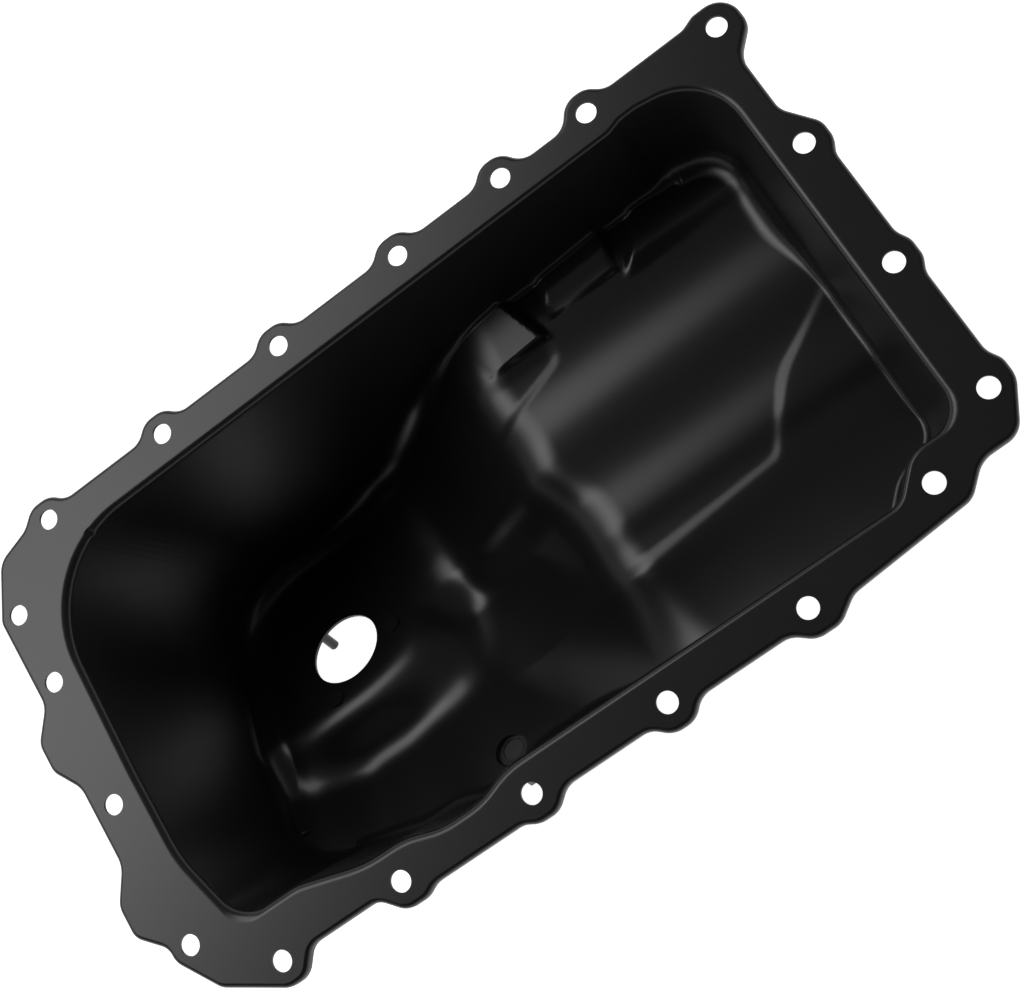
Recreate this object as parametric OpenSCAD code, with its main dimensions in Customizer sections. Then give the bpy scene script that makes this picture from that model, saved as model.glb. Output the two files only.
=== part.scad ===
// Engine oil pan, open side up.
// One pressed sheet: flange with a turned-down lip, shallow end, ramp and a tilted sump.
// The origin is the middle of the bolt rectangle on the gasket face. X runs to the
// shallow end, Z runs up out of the opening. All sizes are in millimetres.

/* [Flange] */
// Distance between the bolt rows at the two ends
span_x = 391; // [386:1:396]
// Distance between the two long bolt rows
span_y = 218; // [214:1:222]

/* [Sheet] */
// Thickness of the pressed sheet
sheet_t = 1.4; // [1:0.1:2]
// Height of the turned-down lip, from the gasket face to its lower edge
lip_h = 4.6; // [4:0.2:8]
// Outer radius of the bend into the lip
lip_r = 2.2; // [2.1:0.1:3]
// Radius of the bend from the flange into the walls, on the inside of the pan
mouth_r = 3.6; // [3:0.1:4.5]
// Slope of the walls from the vertical, in degrees
draft = 6.3; // [5:0.1:7]
// How much further out the two long walls stand at the shallow end, at the foot line
lean = 5; // [0:0.5:7]

/* [Depths] */
// Depth of the shallow floor below the gasket face
shallow_d = 66; // [55:1:72]
// Depth of the sump floor at the middle of the sensor hole
sump_d = 120; // [112:1:125]
// Tilt of the sump floor about the long axis, in degrees
sump_tilt = 30; // [26:0.5:31]
// How far the floor round the sensor plateau lies below it, square to the floor
plateau_h = 22; // [16:1:24]
// Width of the slope at the edge of the sensor plateau
plateau_w = 54; // [44:1:60]
// Steepness of the ramp between the two floors, in degrees
ramp_deg = 45; // [40:1:50]
// Place along X where the ramp starts
brow_x = 22; // [17:1:27]
// Radius between wall and floor in the sump
sump_fillet = 14; // [10:0.5:16]
// Radius between wall and floor at the shallow end
floor_fillet = 5; // [5:0.5:8]

/* [Holes] */
// Diameter of the flange bolt holes
bolt_d = 9; // [6:0.5:10]
// Diameter of the sensor hole
sensor_d = 37; // [30:0.5:42]
// Place of the sensor hole along X
sensor_x = -111.7; // [-116:0.1:-108]
// Place of the sensor hole along Y
sensor_y = 14.1; // [10:0.1:18]

/* [Sensor studs] */
// Radius of the circle that the studs stand on
stud_ring = 27.3; // [26:0.1:30]
// Diameter of a stud
stud_d = 5; // [4:0.5:6]
// Length of a stud below the sheet
stud_l = 16; // [10:1:25]
// Diameter of the flat stud head on the inside
stud_head_d = 9; // [8:0.5:11]
// Thickness of the stud head
stud_head_h = 0.8; // [0.5:0.1:1.5]

/* [Drain] */
// Place of the drain along X
drain_x = -58.2; // [-62:0.1:-56]
// Place of the drain along Y
drain_y = -77.2; // [-78:0.1:-74]
// Diameter of the bush where it passes through the sheet
bush_d = 16; // [14:0.5:17]
// Diameter of the bush collar on the outside
bush_collar_d = 25; // [22:0.5:28]
// Thickness of the bush collar
bush_collar_h = 9; // [6:0.5:12]
// Diameter of the drain screw
plug_d = 10; // [8:0.5:10]
// Width of the screw head across its flats
plug_af = 17; // [15:0.5:19]
// Height of the hexagon of the screw head
plug_head_h = 7; // [5:0.5:10]
// Thickness of the seal ring
washer_h = 1.5; // [1:0.1:2.5]

/* [Hidden] */
// Free play of a pin or screw in its hole, on the diameter
play = 0.2;
// Depth at which the foot line of the walls is drawn
deep = 100;
// Scale of the flange plan against the plan of the lists below
fit = [span_x / 391, span_y / 218];
// Length of the cutters for the holes in the sump floor
cut_l = 10;
// Parts of the mesh along and across the floor
cols = 42;
rows = 22;

// Bolt holes: the two long sides, the two ends
function placed(list) = [for (p = list) [p.x * fit.x, p.y * fit.y]];
far_bolts = placed([[-159.5, 109], [-94, 109], [-29, 109], [35.5, 109], [89.5, 109], [133.5, 109]]);
near_bolts = placed([[-162, -109], [-101, -109], [-36, -109], [29, -109], [94, -109]]);
right_bolts = placed([[195.5, 104.5], [195.5, 42.5], [195.5, -18], [195.5, -78.5], [159, -96.5]]);
left_bolts = placed([[-194.5, -82.5], [-195.5, -14.5], [-193.5, 46], [-193.5, 81]]);
bolts = concat(far_bolts, near_bolts, right_bolts, left_bolts);

// A bolt lobe on a straight edge: foot heights e0 and e1 and tip height, from the bolt
function lobe(b, d, e0, e1, tip) = let (n = [-d.y, d.x]) [
  corner(b - 12 * d + e0 * n, -10),
  corner(b - 5 * d + tip * n, 10),
  corner(b + 5 * d + tip * n, 10),
  corner(b + 12 * d + e1 * n, -10)
];
function corner(p, r) = [p.x, p.y, r];

// Outer edge of the lip, clockwise from the far left: x, y, radius (minus for a hollow)
function corners(list) = [for (p = list) [p.x * fit.x, p.y * fit.y, p.z]];
outline = concat(
  corners([[-172.5, 112.3, -12], [-165, 118.8, 10], [-155, 118.8, 10], [-148, 112.6, -10]]),
  lobe(far_bolts[1], [1, 0], 3.6, 3.6, 9.8),
  lobe(far_bolts[2], [1, 0], 3.6, 3.6, 9.8),
  lobe(far_bolts[3], [1, 0], 3.6, 3.6, 10),
  lobe(far_bolts[4], [1, 0], 3.6, 0.6, 10),
  lobe(far_bolts[5], [1, 0], 0.6, 4, 10),
  corners([[184, 113, -10], [190, 115.4, 8], [206.6, 115.4, 11], [206.6, 98.5, 8]]),
  corners([[196, 88, -12], [196, 60.5, -10], [206.2, 46, 9], [206.2, 38, 9], [203, 32, -10]]),
  corners([[203, -8, -10], [206, -14, 8], [206, -22, 8], [203, -28, -10]]),
  corners([[203, -66, -10], [206.3, -72, 8], [206.3, -80.5, 12], [195, -99, 10]]),
  corners([[178, -99.3, -12], [167, -109.2, 10], [111, -113.9, -10]]),
  corners([[101, -120.5, 10], [90, -120.5, 10], [82, -113.9, -10]]),
  lobe(near_bolts[3], [-1, 0], 4.9, 4.9, 11.4),
  corners([[-23, -113.9, -10], [-31, -120.5, 10], [-40, -120.5, 10], [-46, -117.2, -10]]),
  corners([[-89, -117.2, -10], [-95, -120.1, 10], [-105, -120.1, 9], [-114, -110.3, -8]]),
  corners([[-148, -110.3, -8], [-156, -119.8, 9], [-165, -119.8, 10], [-191.5, -104.3, 10]]),
  corners([[-204.5, -85, 10], [-204.5, -78.5, -8], [-215.8, -67, 8], [-215.8, -52, 10]]),
  corners([[-206, -38, -12], [-206, 0, -12], [-214, 13, 9], [-214, 27, 9], [-203.2, 40, -10]]),
  corners([[-203.2, 83, 8], [-190, 107, 12]])
);

// Edge of the opening where the bend starts, clockwise: x, y, radius, radius at the foot
opening_plan = [
  [-180.4, 97.2, 52, 46],
  [136, 97.3, -12, -12],
  [142.5, 99.3, 8, 8],
  [151, 99.3, 8, 8],
  [184.8, 93.3, 30, 20],
  [184.8, -84, 12, 16],
  [159, -84, -12, -22],
  [145, -97.8, 12, 8],
  [-40, -97.8, -40, -40],
  [-56, -103.4, 40, 40],
  [-76, -103.4, 40, 40],
  [-92, -98.2, -40, -40],
  [-112, -98, 60, 45],
  [-142, -89.6, -25, -35],
  [-172.5, -89.4, 14, 24],
  [-183.6, -50, 60, 60],
  [-183.6, -8, 150, 150]
];
opening = [for (p = opening_plan) [p.x * fit.x, p.y * fit.y, p.z, p[3]]];

// Small helpers
function xy(p) = [p.x, p.y];
function unit(v) = v / norm(v);
// Points that two bodies share, on a fine grid, so that the bodies meet without slivers
function on_grid(p) = [for (c = p) round(c * 65536) / 65536];
function cap(x, lo, hi) = max(lo, min(hi, x));
function ease(x) = let (u = cap(x, 0, 1)) u * u * (3 - 2 * u);
function smooth(x) = let (u = cap(x, 0, 1)) u * u * u * (u * (6 * u - 15) + 10);
function soft_max(a, b, k) = let (h = max(k - abs(a - b), 0) / k) max(a, b) + h * h * k / 4;
function soft_min(a, b, k) = -soft_max(-a, -b, k);
function side_normal(a, b) = let (d = unit(b - a)) [-d.y, d.x];
function turned(n1, n2, turn, f) = (n1 * sin((1 - f) * turn) + n2 * sin(f * turn)) / sin(turn);

// Points of a corner, rounded with radius r, as [point, outward normal]
function rounded(a, p, b, r, count) = let (
    n1 = side_normal(a, p),
    n2 = side_normal(p, b),
    turn = acos(cap(n1 * n2, -1, 1)),
    m = (n1 + n2) / (1 + n1 * n2)
  ) [for (j = [0 : count]) let (n = turned(n1, n2, turn, j / count)) [p + r * (n - m), n]];
function before(c, i) = xy(c[(i + len(c) - 1) % len(c)]);
function after(c, i) = xy(c[(i + 1) % len(c)]);
function turn_at(c, i) = acos(cap(side_normal(before(c, i), xy(c[i])) * side_normal(xy(c[i]), after(c, i)), -1, 1));

// Outer edge as points with normals
rim = [for (i = [0 : len(outline) - 1])
  each rounded(before(outline, i), xy(outline[i]), after(outline, i), outline[i][2],
    ceil(turn_at(outline, i) / 24))];

// Inset of the wall from the bend start, at depth d, for the face at offset o in the sheet
function wall_in(d, o) = (mouth_r - o) * cos(draft)
  + (d - mouth_r + (mouth_r - o) * sin(draft)) * tan(draft);
deep_in = wall_in(deep, 0);

// Corner moved inward by w
function inset(a, p, b, w) = let (n1 = side_normal(a, p), n2 = side_normal(p, b))
  p - (n1 + n2) * w / (1 + n1 * n2);
foot = [for (i = [0 : len(opening) - 1]) let (
    q = inset(before(opening, i), xy(opening[i]), after(opening, i), deep_in)
  ) q + [0, q.x > 100 ? (q.y > 0 ? lean : -lean) : 0]];

// The opening and its foot line, corner by corner: [foot point, edge point]
walls = [for (i = [0 : len(opening) - 1]) let (
    top = rounded(before(opening, i), xy(opening[i]), after(opening, i), opening[i][2], 6),
    low = rounded(before(foot, i), foot[i], after(foot, i), opening[i][3], 6)
  ) for (j = [0 : 6]) [low[j][0], top[j][0]]];

// The four sides of the foot line, looked up along X or Y
far_side = [for (w = walls) if (w[0].y > 0) w];
near_side = [for (w = walls) if (w[0].y < 0) w];
left_side = [for (w = walls) if (w[0].x < -100) w];
right_side = [for (w = walls) if (w[0].x > 130) w];
function at_x(side, x, k, c) = lookup(x, [for (w = side) [w[0].x, w[k][c]]]);
function at_y(side, y, k, c) = lookup(y, [for (w = side) [w[0].y, w[k][c]]]);
function on_x(side, x) = [for (k = [0, 1]) on_grid([at_x(side, x, k, 0), at_x(side, x, k, 1)])];
function on_y(side, y) = [for (k = [0, 1]) on_grid([at_y(side, y, k, 0), at_y(side, y, k, 1)])];

// Columns and rows of the mesh
x_left = -152 * fit.x;
x_right = 165 * fit.x;
function col_x(i) = x_left + (x_right - x_left) * i / cols;
y_far_left = at_x(far_side, x_left, 0, 1);
y_far_right = at_x(far_side, x_right, 0, 1);
y_near_left = at_x(near_side, x_left, 0, 1);
y_near_right = at_x(near_side, x_right, 0, 1);
function row_left(j) = y_near_left + (y_far_left - y_near_left) * j / rows;
function row_right(j) = y_near_right + (y_far_right - y_near_right) * j / rows;
mesh_n = 2 * (cols + rows);
stations = concat(
  [for (i = [0 : cols - 1]) on_x(far_side, col_x(i))],
  [for (j = [0 : rows - 1]) on_y(right_side, row_right(rows - j))],
  [for (i = [0 : cols - 1]) on_x(near_side, col_x(cols - i))],
  [for (j = [0 : rows - 1]) on_y(left_side, row_left(j))]
);

// Floor heights
sump_slope = tan(sump_tilt);
function plateau_z(y) = -sump_d - (y - sensor_y) * sump_slope;
// How far a place lies inside the edge of the sensor plateau
function plateau_in(x, y) = let (
    u = x - sensor_x,
    v = (y - sensor_y) / cos(sump_tilt),
    cut = v + 49 - 0.004 * pow(max(0, -u - 10), 2),
    side = 4 * (43 - u) + 110 * ease((v + 25) / 45)
  ) soft_min(cut, side, 30);
function sump_z(x, y) = let (drop = plateau_h / cos(sump_tilt) * smooth((x + 185) / 55))
  plateau_z(y) - drop * (1 - smooth(plateau_in(x, y) / plateau_w + 0.5));
// Shallow floor: soft lengthwise waves, a bead with a gutter at the near side, far pads
function near_step(x, y) = let (
    near = -46 + 0.075 * (x - 45) - y,
    slant = (-38 + 1.3 * (x - 117) - y) / 1.64,
    end = (-12 + 0.57 * (x - 137) - y) / 1.15
  ) soft_max(near, soft_min(slant, end, 3), 3);
function relief(x, y) = let (
    d = near_step(x, y),
    strip = ease(d / 7 + 0.5) - 4 * ease((d - 5) / 24),
    s = x + (y - 77) * 0.3,
    on_a = ease((s - 24) / 4) * ease((61 - s) / 6) * ease((y - 62) / 3),
    pad_a = 0.17 * (s - 26) + 0.04 * (y - 63),
    t = x - (y - 77) * 0.2,
    on_b = ease((t - 68) / 4) * ease((109 - t) / 6) * ease((y - 68) / 3),
    pad_b = 0.08 * (t - 68) + 1.5 * ease((y - 70) / 12),
    wave = -0.9 * cos((y + 3) * 7.2) * ease((y + 40) / 15) * (1 - on_a) * (1 - on_b),
    shelf = ease((x - 109 - (y - 72) * 0.67) / 7) * ease((y - 64) / 9),
    arm = -0.6 * ease((y - 42 - (x - 35) * 0.32) / 6) * ease((64 - y) / 9) * ease((64 - x) / 8)
  ) wave + strip + pad_a * on_a + pad_b * on_b + shelf + arm;
function shallow_z(x, y) = -shallow_d + relief(x, y);
function brow(y) = brow_x + 8 * ease((20 - y) / 60) + 8 * ease((-50 - y) / 30);
function ramp_z(x, y) = -shallow_d - (brow(y) - x) * tan(ramp_deg);
function floor_z(x, y) = soft_max(sump_z(x, y), soft_min(shallow_z(x, y), ramp_z(x, y), 16),
  22 + 18 * ease((y + 10) / 40));
// The same for the face at offset o, moved square to the slope
function face_z(x, y, o) = let (z = floor_z(x, y)) o == 0 ? z : let (
    gx = floor_z(x + 1, y) - z,
    gy = floor_z(x, y + 1) - z
  ) z - o * sqrt(1 + gx * gx + gy * gy);
function fillet_r(p) = let (
    shallow = floor_fillet - 1.5 * ease((abs(p.y) - 50) / 20)
  ) shallow + (sump_fillet - shallow) * ease((brow_x - p.x) / 40);

// One station of the shell: bend, wall and fillet, down to the floor
function wall_at(s, d, o) = let (w = s[0] - s[1], a = wall_in(d, 0))
  s[1] + w * a / deep_in - unit(w) * (a - wall_in(d, o));
function foot_depth(s, d, o, n) = n == 0 ? d
  : let (p = wall_at(s, d, o)) foot_depth(s, -face_z(p.x, p.y, o), o, n - 1);
function bend_at(s, phi, o) = let (w = s[0] - s[1])
  s[1] + w * mouth_r * sin(phi) / deep_in - unit(w) * o * sin(phi);
function up(p, z) = [p.x, p.y, z];
function blend(a, q, b, w, f) = let (k = 2 * w * f * (1 - f), g = (1 - f) * (1 - f), h = f * f)
  (g * a + k * q + h * b) / (g + k + h);
bend_n = 3;
fillet_n = 4;
function station(s, o) = let (
    in = unit(s[0] - s[1]),
    d = foot_depth(s, 80, o, 6),
    q = wall_at(s, d, o),
    r = fillet_r(q) + o,
    ahead = q + in * r,
    low = up(q, -d),
    a = unit(up(wall_at(s, d - r, o), r - d) - low),
    b = unit(up(ahead, face_z(ahead.x, ahead.y, o)) - low),
    half = acos(cap(-(a * b), -1, 1)) / 2,
    reach = min(r * tan(half), 26)
  ) concat(
    [for (i = [0 : bend_n]) let (phi = (90 - draft) * i / bend_n)
      up(bend_at(s, phi, o), -mouth_r + (mouth_r - o) * cos(phi))],
    [for (i = [0 : fillet_n]) blend(low + a * reach, low, low + b * reach, cos(half), i / fillet_n)]
  );
rings = bend_n + fillet_n + 2;

// The floor between the fillets
function edge_k(i, j) = j == rows ? i : i == cols ? cols + rows - j : j == 0 ? 2 * cols + rows - i
  : 2 * cols + rows + j;
function shell_points(o) = let (
    st = [for (s = stations) station(s, o)],
    e = [for (s = st) s[rings - 1]],
    fl = e[0],
    fr = e[cols],
    nr = e[cols + rows],
    nl = e[2 * cols + rows]
  ) concat(
    [for (r = [0 : rings - 1]) for (s = st) s[r]],
    [for (j = [1 : rows - 1]) for (i = [1 : cols - 1]) let (
        u = i / cols,
        v = j / rows,
        p = (1 - v) * e[edge_k(i, 0)] + v * e[edge_k(i, rows)]
          + (1 - u) * e[edge_k(0, j)] + u * e[edge_k(cols, j)]
          - (1 - u) * ((1 - v) * nl + v * fl) - u * ((1 - v) * nr + v * fr)
      ) up(p, face_z(p.x, p.y, o))]
  );
face_n = rings * mesh_n + (cols - 1) * (rows - 1);
function id(i, j) = i > 0 && i < cols && j > 0 && j < rows
  ? rings * mesh_n + (j - 1) * (cols - 1) + i - 1
  : (rings - 1) * mesh_n + edge_k(i, j) % mesh_n;
function quad(a, b, c, d) = [[a, b, c], [a, c, d]];
function flip(f) = [for (t = f) [t[2], t[1], t[0]]];
shell_face = concat(
  [for (r = [0 : rings - 2]) for (k = [0 : mesh_n - 1]) let (n = (k + 1) % mesh_n)
    each quad(r * mesh_n + k, r * mesh_n + n, (r + 1) * mesh_n + n, (r + 1) * mesh_n + k)],
  [for (j = [0 : rows - 1]) for (i = [0 : cols - 1])
    each quad(id(i, j), id(i, j + 1), id(i + 1, j + 1), id(i + 1, j))]
);
shell_edge = [for (k = [0 : mesh_n - 1]) let (n = (k + 1) % mesh_n)
  each quad(k, face_n + k, face_n + n, n)];

module bowl() {
  polyhedron(
    points = concat(shell_points(0), shell_points(sheet_t)),
    faces = concat(shell_face, [for (f = flip(shell_face)) [for (i = f) i + face_n]], shell_edge),
    convexity = 12
  );
}

// The turned-down lip: rings of the bend and the wall, outside and inside
lip_rings = concat(
  [for (a = [0, 45, 90]) [lip_r * (sin(a) - 1), lip_r * (cos(a) - 1)]],
  [[0, -lip_h], [-sheet_t, -lip_h]],
  [for (a = [90, 0]) [(lip_r - sheet_t) * sin(a) - lip_r, (lip_r - sheet_t) * cos(a) - lip_r]]
);
module lip() {
  m = len(rim);
  k = len(lip_rings);
  polyhedron(
    points = [for (q = lip_rings) for (p = rim) up(on_grid(p[0] + p[1] * q[0]), q[1])],
    faces = [for (r = [0 : k - 1]) for (i = [0 : m - 1]) let (n = (i + 1) % m, s = (r + 1) % k)
      each quad(r * m + i, s * m + i, s * m + n, r * m + n)],
    convexity = 12
  );
}

module plate() {
  translate([0, 0, -sheet_t])
    linear_extrude(sheet_t)
      difference() {
        polygon([for (p = rim) on_grid(p[0] - p[1] * lip_r)]);
        polygon([for (s = stations) s[1]]);
        for (b = bolts) translate(b) circle(d = bolt_d, $fn = 48);
      }
}

// Frames on the sump floor: local z is square to it
module at_sensor() {
  translate([sensor_x, sensor_y, -sump_d]) rotate([-sump_tilt, 0, 0]) children();
}
drain_z = plateau_z(drain_y) - plateau_h / cos(sump_tilt);
module at_drain() {
  translate([drain_x, drain_y, drain_z]) rotate([-sump_tilt, 0, 0]) children();
}
module at_studs() {
  at_sensor() for (a = [119, -10, -118]) rotate(a) translate([stud_ring, 0, 0]) children();
}

module pan() {
  color("#1c1c1e") difference() {
    union() {
      bowl();
      plate();
      lip();
    }
    at_sensor() cylinder(d = sensor_d, h = cut_l, center = true, $fn = 96);
    at_studs() cylinder(d = stud_d + play, h = cut_l, center = true, $fn = 32);
    at_drain() cylinder(d = bush_d + play, h = cut_l, center = true, $fn = 64);
  }
}

module sensor_studs() {
  color("#2a2a2c") at_studs() {
    cylinder(d = stud_head_d, h = stud_head_h, $fn = 48);
    translate([0, 0, -sheet_t - stud_l]) cylinder(d = stud_d, h = stud_l + sheet_t, $fn = 48);
  }
}

module drain_bush() {
  color("#3a3a3c") at_drain() difference() {
    union() {
      translate([0, 0, -sheet_t - bush_collar_h]) cylinder(d = bush_collar_d, h = bush_collar_h, $fn = 96);
      translate([0, 0, -sheet_t]) cylinder(d = bush_d, h = sheet_t + 0.6, $fn = 96);
    }
    translate([0, 0, -sheet_t - bush_collar_h - 1])
      cylinder(d = plug_d + play, h = sheet_t + bush_collar_h + 3, $fn = 64);
  }
}

module drain_plug() {
  color("#55565a") at_drain() {
    translate([0, 0, -sheet_t - bush_collar_h - washer_h])
      cylinder(d = plug_d, h = sheet_t + bush_collar_h + washer_h, $fn = 64);
    translate([0, 0, -sheet_t - bush_collar_h - washer_h - plug_head_h])
      cylinder(d = plug_af / cos(30), h = plug_head_h, $fn = 6);
  }
}

module plug_washer() {
  color("#a8a8ac") at_drain() translate([0, 0, -sheet_t - bush_collar_h - washer_h]) difference() {
    cylinder(d = plug_af + 2, h = washer_h, $fn = 64);
    translate([0, 0, -1]) cylinder(d = plug_d + play, h = washer_h + 2, $fn = 64);
  }
}

pan();
sensor_studs();
drain_bush();
drain_plug();
plug_washer();
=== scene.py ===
import math

import bpy
import numpy as np
from mathutils import Matrix, Vector
from mathutils.geometry import delaunay_2d_cdt


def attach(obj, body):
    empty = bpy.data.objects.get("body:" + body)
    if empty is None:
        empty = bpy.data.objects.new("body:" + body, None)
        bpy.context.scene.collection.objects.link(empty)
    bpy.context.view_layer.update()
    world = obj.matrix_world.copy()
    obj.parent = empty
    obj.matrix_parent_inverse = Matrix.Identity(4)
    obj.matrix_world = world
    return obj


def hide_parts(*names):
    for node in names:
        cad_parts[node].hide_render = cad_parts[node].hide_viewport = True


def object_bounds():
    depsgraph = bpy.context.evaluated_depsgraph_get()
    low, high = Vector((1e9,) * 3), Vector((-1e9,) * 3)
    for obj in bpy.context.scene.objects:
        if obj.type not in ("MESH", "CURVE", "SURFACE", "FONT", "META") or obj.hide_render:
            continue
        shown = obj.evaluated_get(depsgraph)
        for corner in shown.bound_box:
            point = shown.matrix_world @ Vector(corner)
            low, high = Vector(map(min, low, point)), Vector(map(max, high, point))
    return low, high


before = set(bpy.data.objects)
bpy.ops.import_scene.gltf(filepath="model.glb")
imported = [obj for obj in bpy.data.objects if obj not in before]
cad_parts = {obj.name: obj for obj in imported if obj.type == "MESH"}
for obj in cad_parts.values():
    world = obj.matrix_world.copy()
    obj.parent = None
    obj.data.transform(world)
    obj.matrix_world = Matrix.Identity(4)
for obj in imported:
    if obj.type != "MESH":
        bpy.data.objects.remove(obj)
cad_low, cad_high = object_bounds()

# Sizes of the sheet in mm, in the pan's frame: z is 0 on the gasket face
SHEET_T = 1.4
LIP_H = 4.6
LIP_R = 2.2
MOUTH_R = 3.6
DRAFT = math.radians(6.3)
BOLT_D = 9.0

# Depths and slopes of the floor
SHALLOW_D = 66.0
SUMP_D = 120.0
TILT = math.radians(30.0)
PLATEAU_H = 22.0
RAMP = math.radians(45.0)
BROW_X = 22.0
SUMP_FILLET = 14.0
FLOOR_FILLET = 5.0

# Holes in the sump floor
SENSOR_D = 37.0
SENSOR = (-111.7, 14.1)
STUD_RING = 27.3
STUD_ANGLES = (119, -10, -118)
STUD_D = 5.0
DRAIN = (-58.2, -77.2)
BUSH_D = 16.0
PLAY = 0.2

# Walls: their foot line is given at the depth DEEP, and leans out at the shallow end
DEEP = 100.0
LEAN = 5.0
LEAN_FROM_X = 100

# The small nick in the mouth bend
NICK = (-145.6, 92.7, -1.0)
NICK_DEPTH = 1.0
NICK_R = 2.8
NICK_WAY = (-0.7, 0.6, -0.5)

# Plateau round the sensor hole, measured from the hole in the plane of the plateau
PLATEAU_FRONT = 49
PLATEAU_SIDE = 54
PLATEAU_BLEND = 44
STEP_RUN = 54

# Lines on the shallow floor where it rises: x, y and slope of the line, and its steepness
NEAR_LINE = (45, -46, 0.075, 1)
DIAGONAL = (117, -38, 1.3, 1.64)
END_LINE = (137, -12, 0.57, 1.15)
LINE_BLEND = 3

# Pads at the far side of the shallow floor: first x, last x and first y; and their skew
PAD_A = (24, 61, 62)
PAD_A_SKEW = 0.3
PAD_B = (68, 109, 68)
PAD_B_SKEW = -0.2
PAD_MID_Y = 77

# The shallow floor's other relief, and the blend at the brow
WAVE_H = 0.9
WAVE_DEG_PER_MM = 7.2
SHELF_H = 2.6
ARM_H = 0.6
BROW_BLEND = 16

# Counts, cell sizes and limits of the meshes
BEND_N, WALL_N, FILLET_N, LIP_N = 8, 10, 12, 6
DEPTH_ROUNDS = 10
MAX_REACH = 26
SAME_POINT = 0.05
FLANGE_CELL = 4.0
FLOOR_CELLS = ((-175, 16, 1.9), (16, 180, 1.3))

FAR_BOLTS = [(-159.5, 109), (-94, 109), (-29, 109), (35.5, 109), (89.5, 109), (133.5, 109)]
NEAR_BOLTS = [(-162, -109), (-101, -109), (-36, -109), (29, -109), (94, -109)]
RIGHT_BOLTS = [(195.5, 104.5), (195.5, 42.5), (195.5, -18), (195.5, -78.5), (159, -96.5)]
LEFT_BOLTS = [(-194.5, -82.5), (-195.5, -14.5), (-193.5, 46), (-193.5, 81)]
BOLTS = FAR_BOLTS + NEAR_BOLTS + RIGHT_BOLTS + LEFT_BOLTS


def lobe(bolt, d, before, after, tip):
    """Corners of the bulge round a bolt; before, after and tip are heights of the edge."""
    n = (-d[1], d[0])
    corners = ((-12, before, -10), (-5, tip, 10), (5, tip, 10), (12, after, -10))
    return [(bolt[0] + s * d[0] + h * n[0], bolt[1] + s * d[1] + h * n[1], r)
            for s, h, r in corners]


# Outer edge of the flange: x, y and radius of each corner
OUTLINE = (
    [(-172.5, 112.3, -12), (-165, 118.8, 10), (-155, 118.8, 10), (-148, 112.6, -10)]
    + lobe((-94, 109), (1, 0), 3.6, 3.6, 9.8)
    + lobe((-29, 109), (1, 0), 3.6, 3.6, 9.8)
    + lobe((35.5, 109), (1, 0), 3.6, 3.6, 10)
    + lobe((89.5, 109), (1, 0), 3.6, 0.6, 10)
    + lobe((133.5, 109), (1, 0), 0.6, 4, 10)
    + [(184, 113, -10), (190, 115.4, 8), (206.6, 115.4, 11), (206.6, 98.5, 8)]
    + [(196, 88, -12), (196, 60.5, -10), (206.2, 46, 9), (206.2, 38, 9), (203, 32, -10)]
    + [(203, -8, -10), (206, -14, 8), (206, -22, 8), (203, -28, -10)]
    + [(203, -66, -10), (206.3, -72, 8), (206.3, -80.5, 12), (195, -99, 10)]
    + [(178, -99.3, -12), (167, -109.2, 10), (111, -113.9, -10)]
    + [(101, -120.5, 10), (90, -120.5, 10), (82, -113.9, -10)]
    + lobe((29, -109), (-1, 0), 4.9, 4.9, 11.4)
    + [(-23, -113.9, -10), (-31, -120.5, 10), (-40, -120.5, 10), (-46, -117.2, -10)]
    + [(-89, -117.2, -10), (-95, -120.1, 10), (-105, -120.1, 9), (-114, -110.3, -8)]
    + [(-148, -110.3, -8), (-156, -119.8, 9), (-165, -119.8, 10), (-191.5, -104.3, 10)]
    + [(-204.5, -85, 10), (-204.5, -78.5, -8), (-215.8, -67, 8), (-215.8, -52, 10)]
    + [(-206, -38, -12), (-206, 0, -12), (-214, 13, 9), (-214, 27, 9), (-203.2, 40, -10)]
    + [(-203.2, 83, 8), (-190, 107, 12)]
)

# Mouth of the bowl: x, y, radius of each corner at the mouth and at the foot
OPENING = [
    (-180.4, 97.2, 52, 46),
    (136, 97.3, -12, -12),
    (142.5, 99.3, 8, 8),
    (151, 99.3, 8, 8),
    (184.8, 93.3, 30, 20),
    (184.8, -84, 12, 16),
    (159, -84, -12, -22),
    (145, -97.8, 12, 8),
    (-40, -97.8, -40, -40),
    (-56, -103.4, 40, 40),
    (-76, -103.4, 40, 40),
    (-92, -98.2, -40, -40),
    (-112, -98, 60, 45),
    (-142, -89.6, -25, -35),
    (-172.5, -89.4, 14, 24),
    (-183.6, -50, 60, 60),
    (-183.6, -8, 150, 150),
]


def unit(v):
    v = np.asarray(v, float)
    return v / np.linalg.norm(v)


def ease(x):
    """0 to 1 with level ends."""
    u = np.clip(x, 0, 1)
    return u * u * (3 - 2 * u)


def smooth(x):
    """0 to 1 with level and straight ends."""
    u = np.clip(x, 0, 1)
    return u * u * u * (u * (6 * u - 15) + 10)


def soft_max(a, b, k):
    h = np.maximum(k - np.abs(a - b), 0) / k
    return np.maximum(a, b) + h * h * k / 4


def soft_min(a, b, k):
    return -soft_max(-a, -b, k)


def side_normal(a, b):
    d = unit(np.subtract(b, a))
    return np.array([-d[1], d[0]])


def rounded(a, p, b, r, count):
    """Points and normals of the arc that rounds the corner p between a and b."""
    n1, n2 = side_normal(a, p), side_normal(p, b)
    turn = math.acos(max(-1, min(1, float(n1 @ n2))))
    m = (n1 + n2) / (1 + n1 @ n2)
    out = []
    for j in range(count + 1):
        f = j / count
        n = (n1 * math.sin((1 - f) * turn) + n2 * math.sin(f * turn)) / math.sin(turn)
        out.append((np.asarray(p, float) + r * (n - m), n))
    return out


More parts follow.
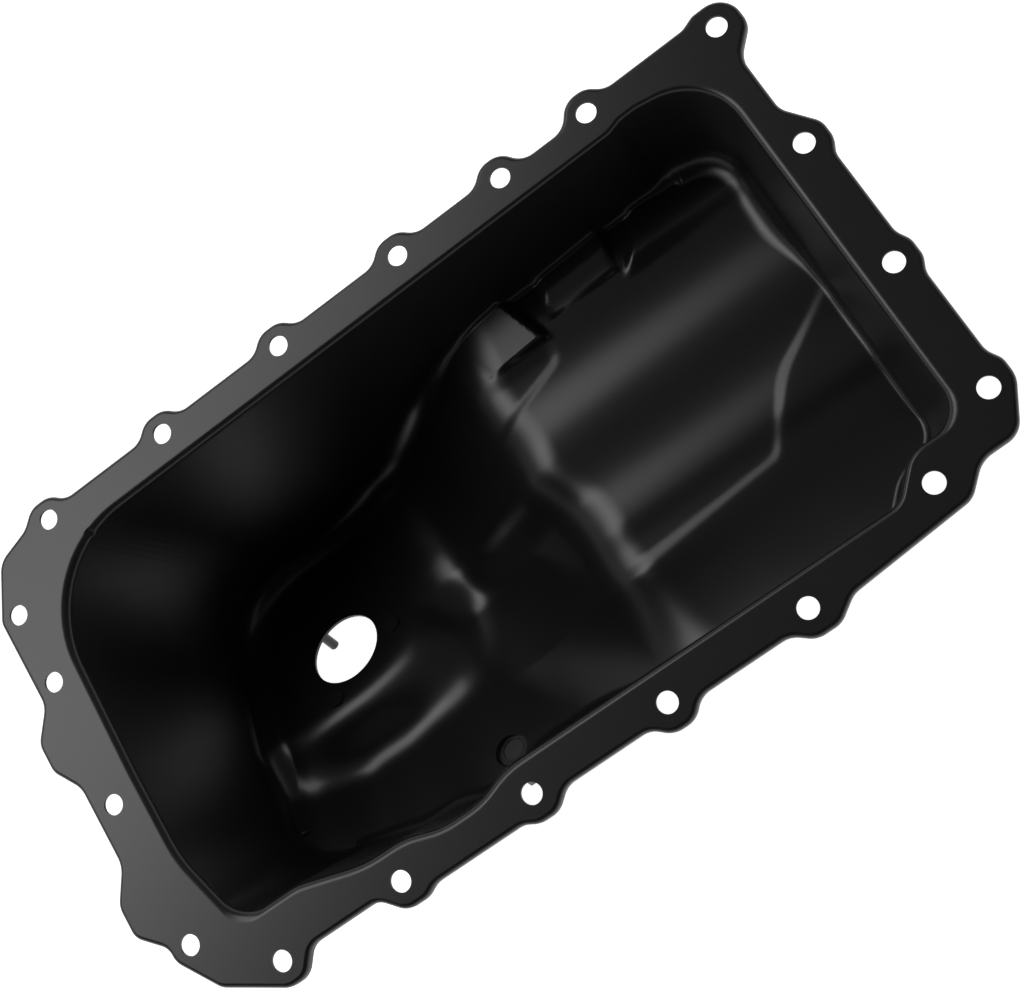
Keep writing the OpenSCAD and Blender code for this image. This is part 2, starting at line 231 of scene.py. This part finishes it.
def corner_turn(c, i):
    a, p, b = c[i - 1][:2], c[i][:2], c[(i + 1) % len(c)][:2]
    return math.acos(max(-1, min(1, float(side_normal(a, p) @ side_normal(p, b)))))


def without_doubles(points, place):
    """Drops each point that lies on the one before it."""
    keep = []
    for q in points:
        if not keep or np.linalg.norm(place(q) - place(keep[-1])) > SAME_POINT:
            keep.append(q)
    return keep


def outer_edge(step_deg=5.0, step=4.0):
    """Points and outward normals of the flange's outer edge."""
    pts = []
    for i in range(len(OUTLINE)):
        a, p, b = OUTLINE[i - 1][:2], OUTLINE[i][:2], OUTLINE[(i + 1) % len(OUTLINE)][:2]
        count = max(2, math.ceil(math.degrees(corner_turn(OUTLINE, i)) / step_deg))
        arc = rounded(a, p, b, OUTLINE[i][2], count)
        if pts:
            q0, q1 = pts[-1], arc[0]
            gap = np.linalg.norm(q1[0] - q0[0])
            for j in range(1, int(gap // step)):
                f = j / int(gap // step)
                pts.append((q0[0] * (1 - f) + q1[0] * f, q0[1]))
        pts += arc
    return without_doubles(pts, lambda q: q[0])


def wall_in(d):
    """How far the wall's inner face lies inside the mouth line, at the depth d."""
    below = d - MOUTH_R + MOUTH_R * math.sin(DRAFT)
    return MOUTH_R * math.cos(DRAFT) + below * math.tan(DRAFT)


DEEP_IN = wall_in(DEEP)


def inset(a, p, b, w):
    n1, n2 = side_normal(a, p), side_normal(p, b)
    return np.asarray(p, float) - (n1 + n2) * w / (1 + n1 @ n2)


def between(a, b, f):
    """A pair of points part of the way from the pair a to the pair b."""
    return [a[k] * (1 - f) + b[k] * f for k in (0, 1)]


def wall_stations(step=2.5, step_deg=4, fine_near=9, fine_parts=6):
    """Matching points of the foot line and the mouth line, all the way round."""
    n = len(OPENING)
    top = [np.array(c[:2], float) for c in OPENING]
    foot = [inset(top[i - 1], top[i], top[(i + 1) % n], DEEP_IN) for i in range(n)]
    foot = [q + (0, LEAN if q[1] > 0 else -LEAN) if q[0] > LEAN_FROM_X else q for q in foot]
    arcs = []
    for i in range(n):
        turn = math.degrees(corner_turn(OPENING, i))
        count = max(4, math.ceil(turn / step_deg))
        t = rounded(top[i - 1], top[i], top[(i + 1) % n], OPENING[i][2], count)
        f = rounded(foot[i - 1], foot[i], foot[(i + 1) % n], OPENING[i][3], count)
        arcs.append([(f[j][0], t[j][0]) for j in range(count + 1)])
    out = []
    for i in range(n):
        out += arcs[i]
        a, b = arcs[i][-1], arcs[(i + 1) % n][0]
        gap = max(np.linalg.norm(b[0] - a[0]), np.linalg.norm(b[1] - a[1]))
        m = max(1, math.ceil(gap / step))
        out += [between(a, b, j / m) for j in range(1, m)]
    keep = without_doubles(out, lambda q: q[1])
    fine = []
    for s, q in zip(keep, keep[1:] + keep[:1]):
        m = fine_parts if np.linalg.norm(s[1] - NICK[:2]) < fine_near else 1
        fine += [between(s, q, j / m) for j in range(m)]
    return np.array([s[0] for s in fine]), np.array([s[1] for s in fine])


def plateau_z(y):
    return -SUMP_D - (y - SENSOR[1]) * math.tan(TILT)


def plateau_in(x, y):
    """How far a point lies inside the plateau's edge."""
    u = x - SENSOR[0]
    v = (y - SENSOR[1]) / math.cos(TILT)
    cut = v + PLATEAU_FRONT - 0.004 * np.maximum(0, -u - 10) ** 2
    side = 1.1 * (PLATEAU_SIDE - u) + 0.2 * (v + 20)
    return soft_min(cut, side, PLATEAU_BLEND)


def step_fade(x, y):
    """The plateau's step runs out to the left and is a little lower at its right end."""
    left = 0.55 * smooth((x + 187) / 32) + 0.45 * smooth((x + 169) / 50)
    return left * (1 - 0.16 * smooth((x + 108) / 45) * smooth((x + 20) / -50))


def sump_z(x, y):
    drop = PLATEAU_H / math.cos(TILT) * step_fade(x, y)
    return plateau_z(y) - drop * (1 - smooth(plateau_in(x, y) / STEP_RUN + 0.5))


def past_line(line, x, y):
    x0, y0, slope, steepness = line
    return (y0 + slope * (x - x0) - y) / steepness


def near_step(x, y):
    """Distance past the line where the bead rises: near line, diagonal and end part."""
    slant = past_line(DIAGONAL, x, y)
    end = past_line(END_LINE, x, y)
    return soft_max(past_line(NEAR_LINE, x, y), soft_min(slant, end, LINE_BLEND), LINE_BLEND)


def on_pad(pad, s, y):
    """1 on a pad and 0 off it; s is x along the skewed pad."""
    start, stop, first_y = pad
    return ease((s - start) / 4) * ease((stop - s) / 6) * ease((y - first_y) / 3)


def relief(x, y):
    """Height of the pressed forms over the level of the shallow floor."""
    # bead along the near side, stronger to the left
    d = near_step(x, y)
    left = ease((100 - x) / 70)
    rise, run, fall = 0.8 + 0.5 * left, 6 + 3 * left, 0.1 + 0.08 * left
    strip = rise * ease(d / run + 0.5) - fall * soft_max(d - 3, 0, 6)
    # two skewed pads at the far side
    s = x + (y - PAD_MID_Y) * PAD_A_SKEW
    on_a = on_pad(PAD_A, s, y)
    pad_a = 0.17 * (s - 26) + 0.04 * (y - 63)
    s = x + (y - PAD_MID_Y) * PAD_B_SKEW
    on_b = on_pad(PAD_B, s, y)
    pad_b = 0.08 * (s - 68) + 1.5 * ease((y - 70) / 12)
    # low waves across the middle
    wave = -WAVE_H * np.cos(np.radians((y + 3) * WAVE_DEG_PER_MM)) * ease((y + 40) / 15)
    wave = wave * (1 - on_a) * (1 - on_b)
    # shelf to the right of the pads, and the arm from the brow to the pads
    shelf = SHELF_H * ease((x - 109 - (y - 72) * 0.67) / 7) * ease((y - 62) / 9)
    shelf = shelf * (1 - 0.6 * ease((x - 116) / 40))
    arm = -ARM_H * ease((y - 42 - (x - 35) * 0.32) / 6) * ease((64 - y) / 9) * ease((64 - x) / 8)
    return wave + strip + pad_a * on_a + pad_b * on_b + shelf + arm


def shallow_z(x, y):
    return -SHALLOW_D + relief(x, y)


def brow_step(y):
    """How far the brow lies to the right of BROW_X in the near half."""
    return 9 * ease((16 - y) / 26) + 0.3 * np.maximum(0, -48 - y)


def ramp_z(x, y):
    return -SHALLOW_D - (BROW_X + brow_step(y) - x) * math.tan(RAMP)


def floor_z(x, y):
    """Height of the floor's inner face."""
    upper = soft_min(shallow_z(x, y), ramp_z(x, y), BROW_BLEND)
    return soft_max(sump_z(x, y), upper, 38 + 12 * ease((y + 10) / 40))


def floor_normal(x, y, h=0.25):
    gx = (floor_z(x + h, y) - floor_z(x - h, y)) / (2 * h)
    gy = (floor_z(x, y + h) - floor_z(x, y - h)) / (2 * h)
    n = np.stack([-gx, -gy, np.ones_like(gx)], -1)
    return n / np.linalg.norm(n, axis=-1, keepdims=True)


def fillet_r(x, y):
    """Radius at the foot of the wall: tight at the shallow end, wide round the sump."""
    shallow = FLOOR_FILLET - 1.5 * ease((np.abs(y) - 50) / 20)
    shallow = shallow + 9 * ease((x - 130) / 30) * ease((y - 5) / 40)
    return shallow + (SUMP_FILLET - shallow) * ease((BROW_X - x) / 40)


def with_nick(rings):
    """Pushes the small nick into the mouth bend."""
    far = np.linalg.norm(rings - NICK, axis=2)
    return rings + (NICK_DEPTH * (1 - smooth(far / NICK_R)))[..., None] * unit(NICK_WAY)


def shell_rings():
    """Rings of points from the mouth of the pan down to the floor, on the inner face."""
    foot, edge = wall_stations()
    w = foot - edge
    inward = w / np.linalg.norm(w, axis=1, keepdims=True)
    rings = []
    for i in range(BEND_N + 1):
        phi = (math.pi / 2 - DRAFT) * i / BEND_N
        p = edge + w * MOUTH_R * math.sin(phi) / DEEP_IN
        rings.append(np.column_stack([p, np.full(len(p), -MOUTH_R + MOUTH_R * math.cos(phi))]))

    def wall(d):
        return edge + w * (wall_in(d) / DEEP_IN)[:, None]

    # depth at which the wall meets the floor, found in rounds
    d = np.full(len(edge), 80.0)
    for _ in range(DEPTH_ROUNDS):
        p = wall(d)
        d = -floor_z(p[:, 0], p[:, 1])
    low = np.column_stack([wall(d), -d])
    # tangent points of the foot radius, up the wall and along the floor
    r = fillet_r(low[:, 0], low[:, 1])
    above = np.column_stack([wall(d - r), r - d]) - low
    ahead_xy = low[:, :2] + inward * r[:, None]
    ahead = np.column_stack([ahead_xy, floor_z(ahead_xy[:, 0], ahead_xy[:, 1])]) - low
    a = above / np.linalg.norm(above, axis=1, keepdims=True)
    b = ahead / np.linalg.norm(ahead, axis=1, keepdims=True)
    half = np.arccos(np.clip(-(a * b).sum(1), -1, 1)) / 2
    reach = np.minimum(r * np.tan(half), MAX_REACH)
    pa, pb, cw = low + a * reach[:, None], low + b * reach[:, None], np.cos(half)
    first = rings[-1]
    for i in range(1, WALL_N):
        f = i / WALL_N
        rings.append(first * (1 - f) + pa * f)
    for i in range(FILLET_N + 1):
        f = i / FILLET_N
        k, g, h = (2 * cw * f * (1 - f))[:, None], (1 - f) ** 2, f * f
        rings.append((g * pa + k * low + h * pb) / (g + k + h))
    return with_nick(np.array(rings))


def ring_normals(rings):
    du = np.roll(rings, -1, axis=1) - np.roll(rings, 1, axis=1)
    dv = np.gradient(rings, axis=0)
    n = np.cross(du, dv)
    n /= np.linalg.norm(n, axis=2, keepdims=True)
    up = np.array([0, 0, 1.0])
    if (n[0] @ up).mean() < 0:
        n = -n
    n[0] = up
    n[-1] = floor_normal(rings[-1][:, 0], rings[-1][:, 1])
    return n


def circle(c, r, n=48, tilt=0.0):
    """A circle seen from above; tilt is the slope of the sheet that it is cut in."""
    a = np.arange(n) * 2 * math.pi / n
    return np.column_stack([c[0] + r * np.cos(a), c[1] + r * np.sin(a) * math.cos(tilt)])


def inside(poly, pts):
    """Which points lie inside a closed polygon."""
    x, y = pts[:, 0], pts[:, 1]
    hit = np.zeros(len(pts), bool)
    q = np.roll(poly, -1, axis=0)
    for (x0, y0), (x1, y1) in zip(poly, q):
        if y0 == y1:
            continue
        cross = (y0 > y) != (y1 > y)
        hit ^= cross & (x < (x1 - x0) * (y - y0) / (y1 - y0) + x0)
    return hit


def grid(x0, x1, y0, y1, cell):
    gx, gy = np.meshgrid(np.arange(x0, x1, cell), np.arange(y0, y1, cell))
    return np.column_stack([gx.ravel(), gy.ravel()])


def near_free(loose, outer, holes, gap, batch=4000):
    """Drops loose points outside the outer loop, inside a hole or close to either."""
    ok = inside(np.array(outer), loose)
    for h in holes:
        ok &= ~inside(np.array(h), loose)
    loose = loose[ok]
    ring = np.vstack([outer] + list(holes))
    keep = np.ones(len(loose), bool)
    for i in range(0, len(loose), batch):
        d = loose[i:i + batch, None, :] - ring[None]
        keep[i:i + batch] = (d * d).sum(2).min(1) > gap * gap
    return loose[keep]


def fill(outer, holes, loose):
    """Triangles between an outer loop and the hole loops; loose points refine the middle."""
    verts = [Vector(p) for p in outer]
    edges = [(i, (i + 1) % len(outer)) for i in range(len(outer))]
    for h in holes:
        k = len(verts)
        verts += [Vector(p) for p in h]
        edges += [(k + i, k + (i + 1) % len(h)) for i in range(len(h))]
    fixed = len(verts)
    verts += [Vector(p) for p in loose]
    v, _, f, origin, _, _ = delaunay_2d_cdt(verts, edges, [], 0, 1e-6)
    pts = np.array([(p.x, p.y) for p in v])
    tri = np.array([t for t in f if len(t) == 3])
    mid = pts[tri].mean(1)
    keep = inside(np.array(outer), mid)
    for h in holes:
        keep &= ~inside(np.array(h), mid)
    tri = tri[keep]
    e1, e2 = pts[tri[:, 1]] - pts[tri[:, 0]], pts[tri[:, 2]] - pts[tri[:, 0]]
    back = e1[:, 0] * e2[:, 1] - e1[:, 1] * e2[:, 0] < 0
    tri[back] = tri[back][:, ::-1]
    first = {}
    for i, o in enumerate(origin):
        for j in o:
            if j < fixed:
                first[j] = i
    return pts, tri, [first.get(i) for i in range(fixed)]


class Sheet:
    """Collects the face side of the sheet: points, normals, faces and cut edges."""

    def __init__(self):
        self.p, self.n, self.f, self.loops = [], [], [], []

    def add(self, p, n):
        k = len(self.p)
        self.p += [tuple(q) for q in p]
        self.n += [tuple(q) for q in n]
        return list(range(k, k + len(p)))

    def bridge(self, rings):
        """Joins each closed ring of points to the next."""
        for a, b in zip(rings[:-1], rings[1:]):
            for i in range(len(a)):
                j = (i + 1) % len(a)
                self.f.append((a[i], b[i], b[j], a[j]))

    def join(self, outer, holes, loose, known, lift):
        """Fills a region; its first loops are the known ones, the others are cut edges."""
        pts, tri, first = fill(outer, holes, loose)
        p, n = lift(pts)
        table = {}
        k = 0
        loops = [outer] + list(holes)
        for li, loop in enumerate(loops):
            if li < len(known):
                for i in range(len(loop)):
                    table[first[k + i]] = known[li][i]
            k += len(loop)
        new = [i for i in range(len(pts)) if i not in table]
        table.update({i: j for i, j in zip(new, self.add(p[new], n[new]))})
        self.f += [tuple(table[i] for i in t) for t in tri]
        k = 0
        for li, loop in enumerate(loops):
            if li >= len(known):
                self.loops.append([table[first[k + i]] for i in range(len(loop))])
            k += len(loop)


def lip_profile():
    """Outward shift, height and normal of each ring of the lip, from its lower edge up."""
    prof = [(0, -LIP_H, 1, 0), (0, -(LIP_H + LIP_R) / 2, 1, 0)]
    for i in range(LIP_N + 1):
        a = math.pi / 2 * (1 - i / LIP_N)
        s, c = math.sin(a), math.cos(a)
        prof.append((LIP_R * (s - 1), LIP_R * (c - 1), s, c))
    return prof


def sump_holes():
    holes = [circle(SENSOR, SENSOR_D / 2, 96, TILT)]
    for a in STUD_ANGLES:
        c = (SENSOR[0] + STUD_RING * math.cos(math.radians(a)),
             SENSOR[1] + STUD_RING * math.sin(math.radians(a)) * math.cos(TILT))
        holes.append(circle(c, (STUD_D + PLAY) / 2, 32, TILT))
    holes.append(circle(DRAIN, (BUSH_D + PLAY) / 2, 64, TILT))
    return holes


def flat_lift(q):
    return np.column_stack([q, np.zeros(len(q))]), np.tile([0, 0, 1.0], (len(q), 1))


def floor_lift(q):
    return np.column_stack([q, floor_z(q[:, 0], q[:, 1])]), floor_normal(q[:, 0], q[:, 1])


def build_pan():
    s = Sheet()
    rim = outer_edge()
    rp = np.array([q[0] for q in rim])
    rn = np.array([q[1] for q in rim])
    lip = []
    for out, z, nh, nz in lip_profile():
        p = np.column_stack([rp + rn * out, np.full(len(rp), z)])
        lip.append(s.add(p, np.column_stack([rn * nh, np.full(len(p), nz)])))
    s.bridge(lip)
    s.loops.append(lip[0])
    # mouth bend, wall and foot radius
    rings = shell_rings()
    normals = ring_normals(rings)
    ids = [s.add(rings[r], normals[r]) for r in range(len(rings))]
    s.bridge(ids)
    # flange
    outer = rp - rn * LIP_R
    mouth = rings[0][:, :2]
    holes = [mouth] + [circle(b, BOLT_D / 2) for b in BOLTS]
    loose = near_free(grid(-214, 214, -120, 121, FLANGE_CELL), outer, holes, 2.5)
    s.join(outer, holes, loose, [lip[-1], ids[0]], flat_lift)
    # floor
    base = rings[-1][:, :2]
    holes = sump_holes()
    loose = np.vstack([grid(x0, x1, -92, 92, cell) for x0, x1, cell in FLOOR_CELLS])
    loose = near_free(loose, base, holes, 0.7)
    s.join(base, holes, loose, [ids[-1]], floor_lift)
    return s


def sheet_mesh(name, s, t):
    """The closed sheet: face side, back side and the cut edges."""
    p, n = np.array(s.p), np.array(s.n)
    count = len(p)
    verts = np.vstack([p, p - n * t]) / 1000
    faces = [tuple(f) for f in s.f] + [tuple(i + count for i in reversed(f)) for f in s.f]
    normals = [tuple(q) for q in n] + [tuple(-q) for q in n]
    # cut edges get their own points, so that they shade flat
    extra, extra_n = [], []
    base = 2 * count
    for loop in s.loops:
        m = len(loop)
        for i in range(m):
            a, b = loop[i], loop[(i + 1) % m]
            q = [p[a], p[b], p[b] - n[b] * t, p[a] - n[a] * t]
            face_n = unit(np.cross(q[1] - q[0], q[3] - q[0]))
            k = base + len(extra)
            extra += q
            extra_n += [face_n] * 4
            faces.append((k, k + 1, k + 2, k + 3))
    verts = np.vstack([verts, np.array(extra) / 1000])
    me = bpy.data.meshes.new(name)
    me.from_pydata([tuple(v) for v in verts], [], faces)
    me.update()
    me.polygons.foreach_set("use_smooth", [True] * len(me.polygons))
    me.normals_split_custom_set_from_vertices(normals + [tuple(q) for q in extra_n])
    ob = bpy.data.objects.new(name, me)
    bpy.context.scene.collection.objects.link(ob)
    return ob


def map_range(nt, low, high, at_low, at_high):
    """A node that goes smoothly from at_low to at_high while its value goes low to high."""
    node = nt.nodes.new("ShaderNodeMapRange")
    node.interpolation_type = "SMOOTHSTEP"
    values = (("From Min", low), ("From Max", high), ("To Min", at_low), ("To Max", at_high))
    for key, value in values:
        node.inputs[key].default_value = value
    return node


def noise(nt, coords, scale, detail):
    node = nt.nodes.new("ShaderNodeTexNoise")
    node.inputs["Scale"].default_value = scale
    node.inputs["Detail"].default_value = detail
    nt.links.new(coords.outputs["Object"], node.inputs["Vector"])
    return node


def coat_material(name, colour, rough, wall_rough=0, metallic=0.0):
    """A smooth finish with fine grain; steep walls may have a roughness of their own."""
    mat = bpy.data.materials.new(name)
    mat.use_nodes = True
    nt = mat.node_tree
    sh = nt.nodes["Principled BSDF"]
    sh.inputs["Roughness"].default_value = rough
    sh.inputs["Metallic"].default_value = metallic
    coords = nt.nodes.new("ShaderNodeTexCoord")
    # fine grain of the coat
    fine = noise(nt, coords, 900, 3)
    bump = nt.nodes.new("ShaderNodeBump")
    bump.inputs["Strength"].default_value = 0.02
    bump.inputs["Distance"].default_value = 0.0004
    nt.links.new(fine.outputs["Fac"], bump.inputs["Height"])
    nt.links.new(bump.outputs["Normal"], sh.inputs["Normal"])
    # slow change of tone over the surface
    mottle = noise(nt, coords, 30, 4)
    tone = nt.nodes.new("ShaderNodeMix")
    tone.data_type = "RGBA"
    tone.inputs[6].default_value = (*[c * 0.8 for c in colour], 1)
    tone.inputs[7].default_value = (*[c * 1.2 for c in colour], 1)
    nt.links.new(mottle.outputs["Fac"], tone.inputs[0])
    nt.links.new(tone.outputs[2], sh.inputs["Base Color"])
    if wall_rough:
        split = nt.nodes.new("ShaderNodeSeparateXYZ")
        steep = map_range(nt, 0.05, 0.5, wall_rough, rough)
        nt.links.new(coords.outputs["Normal"], split.inputs[0])
        nt.links.new(split.outputs["Z"], steep.inputs["Value"])
        nt.links.new(steep.outputs["Result"], sh.inputs["Roughness"])
    return mat


EDGE_BEVEL = 0.0004
BLACK = (0.011, 0.011, 0.0115)

coat = coat_material("black_coat", BLACK, 0.26, wall_rough=0.46)
node_materials = {
    "sensor_studs": coat_material("stud_steel", BLACK, 0.3),
    "drain_bush": coat_material("bush_steel", (0.02, 0.02, 0.022), 0.4),
    "drain_plug": coat_material("plug_steel", (0.12, 0.12, 0.125), 0.35, metallic=1.0),
    "plug_washer": coat_material("washer_alu", (0.6, 0.6, 0.62), 0.35, metallic=1.0),
}

pan = sheet_mesh("pan_shell", build_pan(), SHEET_T)
pan.data.materials.append(coat)
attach(pan, "root")
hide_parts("pan")
for node, mat in node_materials.items():
    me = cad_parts[node].data
    me.materials.clear()
    me.materials.append(mat)
    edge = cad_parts[node].modifiers.new("edge", "BEVEL")
    edge.width = EDGE_BEVEL
    edge.segments = 2
    edge.limit_method = "ANGLE"
    edge.angle_limit = math.radians(40)

scene = bpy.context.scene
scene.view_settings.view_transform = "Standard"

FLOOR_HALF = 3.0
FLOOR_GAP = 0.002
FLOOR_GLOW = 0.94


def floor_material():
    """Plain diffuse for light, with a glow added where the camera or a reflection looks at it.

    The sum is over 1 in the object's shadow too, so the floor shows as plain white.
    """
    mat = bpy.data.materials.new("floor_white")
    mat.use_nodes = True
    nt = mat.node_tree
    nt.nodes.clear()
    out = nt.nodes.new("ShaderNodeOutputMaterial")
    plain = nt.nodes.new("ShaderNodeBsdfDiffuse")
    plain.inputs["Color"].default_value = (0.8, 0.8, 0.8, 1)
    glow = nt.nodes.new("ShaderNodeEmission")
    glow.inputs["Strength"].default_value = FLOOR_GLOW
    bright = nt.nodes.new("ShaderNodeAddShader")
    mix = nt.nodes.new("ShaderNodeMixShader")
    path = nt.nodes.new("ShaderNodeLightPath")
    seen = nt.nodes.new("ShaderNodeMath")
    seen.operation = "MAXIMUM"
    any_ray = nt.nodes.new("ShaderNodeMath")
    any_ray.operation = "MAXIMUM"
    nt.links.new(path.outputs["Is Camera Ray"], seen.inputs[0])
    nt.links.new(path.outputs["Is Transmission Ray"], seen.inputs[1])
    nt.links.new(path.outputs["Is Glossy Ray"], any_ray.inputs[0])
    nt.links.new(seen.outputs[0], any_ray.inputs[1])
    nt.links.new(any_ray.outputs[0], mix.inputs["Fac"])
    nt.links.new(plain.outputs[0], mix.inputs[1])
    nt.links.new(plain.outputs[0], bright.inputs[0])
    nt.links.new(glow.outputs[0], bright.inputs[1])
    nt.links.new(bright.outputs[0], mix.inputs[2])
    nt.links.new(mix.outputs[0], out.inputs["Surface"])
    return mat


floor_me = bpy.data.meshes.new("floor")
z0 = cad_low.z - FLOOR_GAP
s = FLOOR_HALF
floor_me.from_pydata([(-s, -s, z0), (s, -s, z0), (s, s, z0), (-s, s, z0)], [], [(0, 1, 2, 3)])
floor = bpy.data.objects.new("floor", floor_me)
floor_me.materials.append(floor_material())
scene.collection.objects.link(floor)


def studio_world():
    """White for the camera; for light a dim room, brighter at the far side and low down."""
    world = bpy.data.worlds.new("studio")
    world.use_nodes = True
    nt = world.node_tree
    nt.nodes.clear()
    out = nt.nodes.new("ShaderNodeOutputWorld")
    room = nt.nodes.new("ShaderNodeBackground")
    room.inputs["Color"].default_value = (0.5, 0.5, 0.51, 1)
    coords = nt.nodes.new("ShaderNodeTexCoord")
    split = nt.nodes.new("ShaderNodeSeparateXYZ")
    far_side = map_range(nt, -0.25, 0.15, 0.05, 0.25)
    low_down = map_range(nt, 0.15, 0.6, 1.6, 0.0)
    total = nt.nodes.new("ShaderNodeMath")
    total.operation = "ADD"
    nt.links.new(coords.outputs["Generated"], split.inputs[0])
    nt.links.new(split.outputs["Y"], far_side.inputs["Value"])
    nt.links.new(split.outputs["Z"], low_down.inputs["Value"])
    nt.links.new(far_side.outputs["Result"], total.inputs[0])
    nt.links.new(low_down.outputs["Result"], total.inputs[1])
    nt.links.new(total.outputs[0], room.inputs["Strength"])
    white = nt.nodes.new("ShaderNodeBackground")
    white.inputs["Strength"].default_value = 1.0
    mix = nt.nodes.new("ShaderNodeMixShader")
    path = nt.nodes.new("ShaderNodeLightPath")
    nt.links.new(path.outputs["Is Camera Ray"], mix.inputs["Fac"])
    nt.links.new(room.outputs[0], mix.inputs[1])
    nt.links.new(white.outputs[0], mix.inputs[2])
    nt.links.new(mix.outputs[0], out.inputs["Surface"])
    return world


scene.world = studio_world()

# Direction of the boxes' first side, and the gap between boxes that soften one light
BOX_ROLL = (0.78, 0.62, 0)
BOX_SPACING = 0.05


def area(name, direction, distance, size, radiance):
    """A soft box in the given direction; radiance is what a mirror would show of it."""
    li = bpy.data.lights.new(name, "AREA")
    li.shape = "RECTANGLE"
    li.size, li.size_y = size
    li.energy = radiance * math.pi * size[0] * size[1]
    ob = bpy.data.objects.new(name, li)
    d = Vector(direction).normalized()
    u = (Vector(BOX_ROLL) - d * d.dot(Vector(BOX_ROLL))).normalized()
    v = d.cross(u)
    ob.matrix_world = Matrix.Translation(d * distance) @ Matrix((u, v, d)).transposed().to_4x4()
    scene.collection.objects.link(ob)


def soft_box(name, direction, distance, size, grows, radiance):
    """Boxes of growing size, one behind the other, so that the edge of the light is soft."""
    for k, grow in enumerate(grows):
        grown = (size[0] + grow, size[1] + grow)
        area("%s_%d" % (name, k), direction, distance + BOX_SPACING * k, grown, radiance)


soft_box("key", (-0.41, 0.43, 0.80), 3.0, (3.0, 1.25), (-0.45, -0.15, 0.15, 0.45), 0.68)
soft_box("left", (-0.50, 0.29, 0.81), 2.6, (0.8, 0.55), (-0.3, 0.0, 0.3), 0.4)

# The photograph's camera, fitted to the twenty bolt holes
CAMERA_AT = (0.13618, -0.18100, 0.61993)
CAMERA_AXES = (
    (0.80158511, -0.51981476, -0.29538775),
    (0.57174265, 0.81093846, 0.12445544),
    (0.17484751, -0.2686474, 0.94723646),
)

cam_data = bpy.data.cameras.new("camera")
cam_data.sensor_fit = "HORIZONTAL"
cam_data.sensor_width = 36.0
cam_data.lens = 57.108
cam_data.clip_start = 0.01
cam_data.clip_end = 20.0
cam = bpy.data.objects.new("camera", cam_data)
cam.matrix_world = Matrix.Translation(CAMERA_AT) @ Matrix(CAMERA_AXES).transposed().to_4x4()
scene.collection.objects.link(cam)
scene.camera = cam
